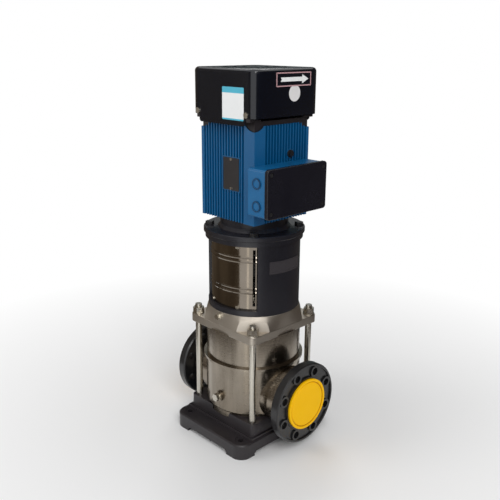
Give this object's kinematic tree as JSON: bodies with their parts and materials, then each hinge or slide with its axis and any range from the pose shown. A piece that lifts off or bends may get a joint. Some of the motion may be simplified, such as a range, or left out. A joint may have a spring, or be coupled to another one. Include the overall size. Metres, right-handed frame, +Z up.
{
  "type": "vertical multistage pump",
  "caption": "Vertical inline multistage pump: flanged foot casing with stay bolts, coupling stool and a finned motor with a square fan cowl.",
  "frame": {"origin": "centre of the foot, on the floor, under the pump shaft", "axes": "+Z up along the shaft, +X out of the inlet along the pipe line, +Y to the back"},
  "size_m": [0.375, 0.32, 0.898],
  "materials": {
    "cast_black": "semi-gloss black paint over a cast surface",
    "stainless": "satin stainless steel sheet",
    "stainless_cast": "bead-blasted stainless casting",
    "bright_steel": "bright zinc plated steel",
    "flange_black": "gloss black paint",
    "cap_yellow": "moulded plastic",
    "rubber_black": "moulded rubber",
    "seal_carbon": "lapped seal and bush ceramic",
    "guard_steel": "polished stainless sheet",
    "coupling_iron": "machined iron",
    "motor_blue": "gloss blue paint over an aluminium casting",
    "box_blue": "gloss blue paint",
    "core_steel": "stacked electrical sheet",
    "winding_copper": "varnished copper winding",
    "fan_plastic": "moulded plastic",
    "cowl_black": "gloss black paint on pressed sheet",
    "cover_black": "satin moulded cover",
    "screw_dark": "blackened steel",
    "board_brown": "moulded insulating board",
    "stud_brass": "plain brass",
    "plate_dark": "dark anodised sheet"
  },
  "bodies": {
    "frame": {"base_plate": "cast_black", "foot_ring": "stainless", "port_chamber": "stainless", "drain_plug": "bright_steel", "outer_sleeve": "stainless", "sleeve_seals": "rubber_black", "pump_head": "stainless_cast", "vent_plug": "bright_steel", "stay_bolts": "bright_steel", "stay_washers": "bright_steel", "stay_nuts": "bright_steel", "suction_guide": "stainless", "stage_chamber_1": "stainless", "stage_chamber_2": "stainless", "top_diffuser": "stainless", "bearing_bush": "seal_carbon", "seal_seat": "bright_steel", "motor_stool": "cast_black", "stool_screws": "bright_steel", "guard_front": "guard_steel", "guard_rear": "guard_steel", "guard_screws": "bright_steel", "drive_end_shield": "cast_black", "flange_screws": "bright_steel", "motor_housing": "motor_blue", "eye_plug": "bright_steel", "rear_end_shield": "cast_black", "stator_core": "core_steel", "stator_windings": "winding_copper", "outer_races": "bright_steel", "bearing_shields": "bright_steel", "fan_cowl": "cowl_black", "cowl_brackets": "cast_black", "cowl_screws": "bright_steel", "terminal_box": "box_blue", "box_gasket": "rubber_black", "box_cover": "cover_black", "cover_screws": "screw_dark", "entry_plugs": "box_blue", "terminal_board": "board_brown", "terminal_studs": "stud_brass", "rating_plate": "plate_dark", "plate_rivets": "bright_steel"},
    "rotor": {"pump_shaft": "bright_steel", "impeller_1": "stainless", "impeller_2": "stainless", "seal_ring": "seal_carbon", "coupling_half_a": "coupling_iron", "coupling_half_b": "coupling_iron", "coupling_screws": "bright_steel", "motor_shaft": "bright_steel", "rotor_core": "core_steel", "inner_races": "bright_steel", "cooling_fan": "fan_plastic"},
    "inlet_ring": {"inlet_flange": "flange_black"},
    "outlet_ring": {"outlet_flange": "flange_black"},
    "inlet_plug": {"inlet_cap": "cap_yellow"},
    "outlet_plug": {"outlet_cap": "cap_yellow"}
  },
  "joints": [
    {"name": "shaft_spin", "type": "hinge", "parent": "frame", "child": "rotor", "pos_m": [0, 0, 0.42], "axis": [0, 0, 1], "continuous": true},
    {"name": "inlet_flange_turn", "type": "hinge", "parent": "frame", "child": "inlet_ring", "pos_m": [0.17, 0, 0.12], "axis": [1, 0, 0], "continuous": true},
    {"name": "outlet_flange_turn", "type": "hinge", "parent": "frame", "child": "outlet_ring", "pos_m": [-0.17, 0, 0.12], "axis": [1, 0, 0], "continuous": true},
    {"name": "inlet_cap_pull", "type": "slide", "parent": "frame", "child": "inlet_plug", "axis": [1, 0, 0], "range_m": [0, 0.03]},
    {"name": "outlet_cap_pull", "type": "slide", "parent": "frame", "child": "outlet_plug", "axis": [-1, 0, 0], "range_m": [0, 0.03]}
  ]
}
